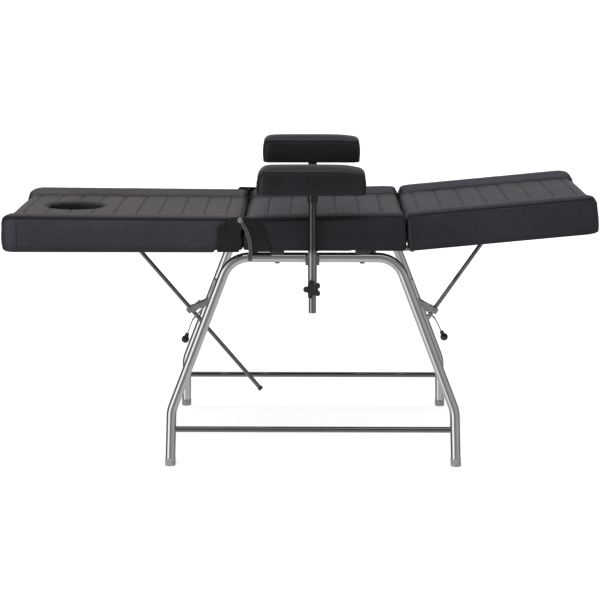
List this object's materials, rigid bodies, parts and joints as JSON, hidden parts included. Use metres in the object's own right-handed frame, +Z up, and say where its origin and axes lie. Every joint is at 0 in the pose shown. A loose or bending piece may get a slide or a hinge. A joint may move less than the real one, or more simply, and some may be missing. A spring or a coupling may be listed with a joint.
{
  "type": "tattoo chair",
  "caption": "Sectioned padded bed with a face opening and adjustable armrests on a bent tube stand, its back and leg ends held by friction-lock support rods.",
  "frame": {"origin": "on the floor under the middle of the overall length and width", "axes": "+X along the bed towards the leg end, +Z up, the near side of the picture at -Y"},
  "size_m": [1.8868, 0.79, 0.985],
  "materials": {
    "black_vinyl": "satin black vinyl with a fine grain",
    "chrome": "polished chrome plate",
    "bright_steel": "bright zinc plate",
    "black_steel": "satin black powder coat",
    "plywood": "bare birch ply",
    "black_rubber": "matte black",
    "black_plastic": "gloss black"
  },
  "bodies": {
    "stand": {"near_side_frame": "chrome", "far_side_frame": "chrome", "foot_tips": "black_rubber", "near_stretcher": "chrome", "far_stretcher": "chrome", "head_crossbar": "chrome", "foot_crossbar": "chrome", "head_seat_rail": "chrome", "foot_seat_rail": "chrome", "seat_spacers": "black_rubber", "seat_bolts": "bright_steel", "seat_board": "plywood", "seat_cushion": "black_vinyl", "seat_hinge_plates": "black_steel", "hinge_straps": "chrome", "back_pivot_bolts": "chrome", "seat_plate_screws": "bright_steel", "leg_hinge_seat_leaves": "bright_steel", "leg_hinge_pins": "bright_steel", "head_clamp_bracket": "bright_steel", "foot_clamp_bracket": "bright_steel", "near_post_socket": "chrome", "far_post_socket": "chrome"},
    "back": {"back_board": "plywood", "back_cushion": "black_vinyl", "back_hinge_plates": "black_steel", "back_plate_screws": "bright_steel", "back_rod_bracket": "black_steel", "back_rod_pin": "bright_steel"},
    "leg": {"leg_board": "plywood", "leg_cushion": "black_vinyl", "leg_hinge_leg_leaves": "bright_steel", "leg_rod_bracket": "black_steel", "leg_rod_pin": "bright_steel"},
    "back_rod": {"back_rod": "bright_steel", "back_rod_cap": "black_rubber"},
    "leg_rod": {"leg_rod": "bright_steel", "leg_rod_cap": "bright_steel"},
    "head_swivel": {"head_swivel": "bright_steel", "head_lever_pin": "bright_steel"},
    "foot_swivel": {"foot_swivel": "bright_steel", "foot_lever_pin": "bright_steel"},
    "head_lever": {"head_lock_lever": "bright_steel", "head_lever_knob": "black_plastic"},
    "foot_lever": {"foot_lock_lever": "bright_steel", "foot_lever_knob": "black_plastic"},
    "near_post": {"near_post": "chrome", "near_post_cap": "black_rubber"},
    "far_post": {"far_post": "chrome", "far_post_cap": "black_rubber"},
    "near_armrest": {"near_pad": "black_vinyl", "near_pad_board": "plywood", "near_pad_flange": "chrome", "near_flange_screws": "bright_steel"},
    "far_armrest": {"far_pad": "black_vinyl", "far_pad_board": "plywood", "far_pad_flange": "chrome", "far_flange_screws": "bright_steel"},
    "near_knob": {"near_star_knob": "black_plastic"},
    "far_knob": {"far_star_knob": "black_plastic"}
  },
  "joints": [
    {"name": "back_raise", "type": "hinge", "parent": "stand", "child": "back", "pos_m": [-0.18612, 0, 0.797], "axis": [0, 1, 0], "range_deg": [0, 55]},
    {"name": "leg_lower", "type": "hinge", "parent": "stand", "child": "leg", "pos_m": [0.35958, 0, 0.688], "axis": [0, 1, 0], "range_deg": [0, 55]},
    {"name": "head_swivel_turn", "type": "hinge", "parent": "stand", "child": "head_swivel", "pos_m": [-0.36952, 0, 0.4386], "axis": [0, 1, 0], "range_deg": [0, 27.6]},
    {"name": "foot_swivel_turn", "type": "hinge", "parent": "stand", "child": "foot_swivel", "pos_m": [0.44988, 0, 0.437], "axis": [0, 1, 0], "range_deg": [0, 27.6]},
    {"name": "back_rod_turn", "type": "hinge", "parent": "back", "child": "back_rod", "pos_m": [-0.57134, 0, 0.68], "axis": [0, 1, 0], "range_deg": [-27.6, 0]},
    {"name": "leg_rod_turn", "type": "hinge", "parent": "leg", "child": "leg_rod", "pos_m": [0.62622, 0, 0.69559], "axis": [0, 1, 0], "range_deg": [-27.6, 0]},
    {"name": "head_lever_lift", "type": "hinge", "parent": "head_swivel", "child": "head_lever", "pos_m": [-0.33267, 0, 0.45377], "axis": [0, 1, 0], "range_deg": [0, 7], "stiffness_Nm_per_rad": 3, "springref_deg": -17.19},
    {"name": "foot_lever_lift", "type": "hinge", "parent": "foot_swivel", "child": "foot_lever", "pos_m": [0.41792, 0, 0.45758], "axis": [0, -1, 0], "range_deg": [0, 7], "stiffness_Nm_per_rad": 3, "springref_deg": -17.19},
    {"name": "near_post_slide", "type": "slide", "parent": "stand", "child": "near_post", "axis": [0, 0, 1], "range_m": [-0.065, 0.065]},
    {"name": "far_post_slide", "type": "slide", "parent": "stand", "child": "far_post", "axis": [0, 0, 1], "range_m": [-0.065, 0.065]},
    {"name": "near_pad_swing", "type": "hinge", "parent": "near_post", "child": "near_armrest", "pos_m": [0.04058, -0.33, 0.87], "axis": [0, 0, 1], "range_deg": [-90, 90]},
    {"name": "far_pad_swing", "type": "hinge", "parent": "far_post", "child": "far_armrest", "pos_m": [0.04058, 0.33, 0.88], "axis": [0, 0, 1], "range_deg": [-90, 90]},
    {"name": "near_knob_turn", "type": "hinge", "parent": "stand", "child": "near_knob", "pos_m": [0.04058, -0.36, 0.586], "axis": [0, -1, 0], "range_deg": [0, 180]},
    {"name": "far_knob_turn", "type": "hinge", "parent": "stand", "child": "far_knob", "pos_m": [0.04058, 0.36, 0.586], "axis": [0, 1, 0], "range_deg": [0, 180]}
  ],
  "couplings": [
    {"joint": "head_swivel_turn", "follows": "back_raise", "ratio": 0.5},
    {"joint": "back_rod_turn", "follows": "back_raise", "ratio": -0.5},
    {"joint": "foot_swivel_turn", "follows": "leg_lower", "ratio": 0.5},
    {"joint": "leg_rod_turn", "follows": "leg_lower", "ratio": -0.5}
  ]
}
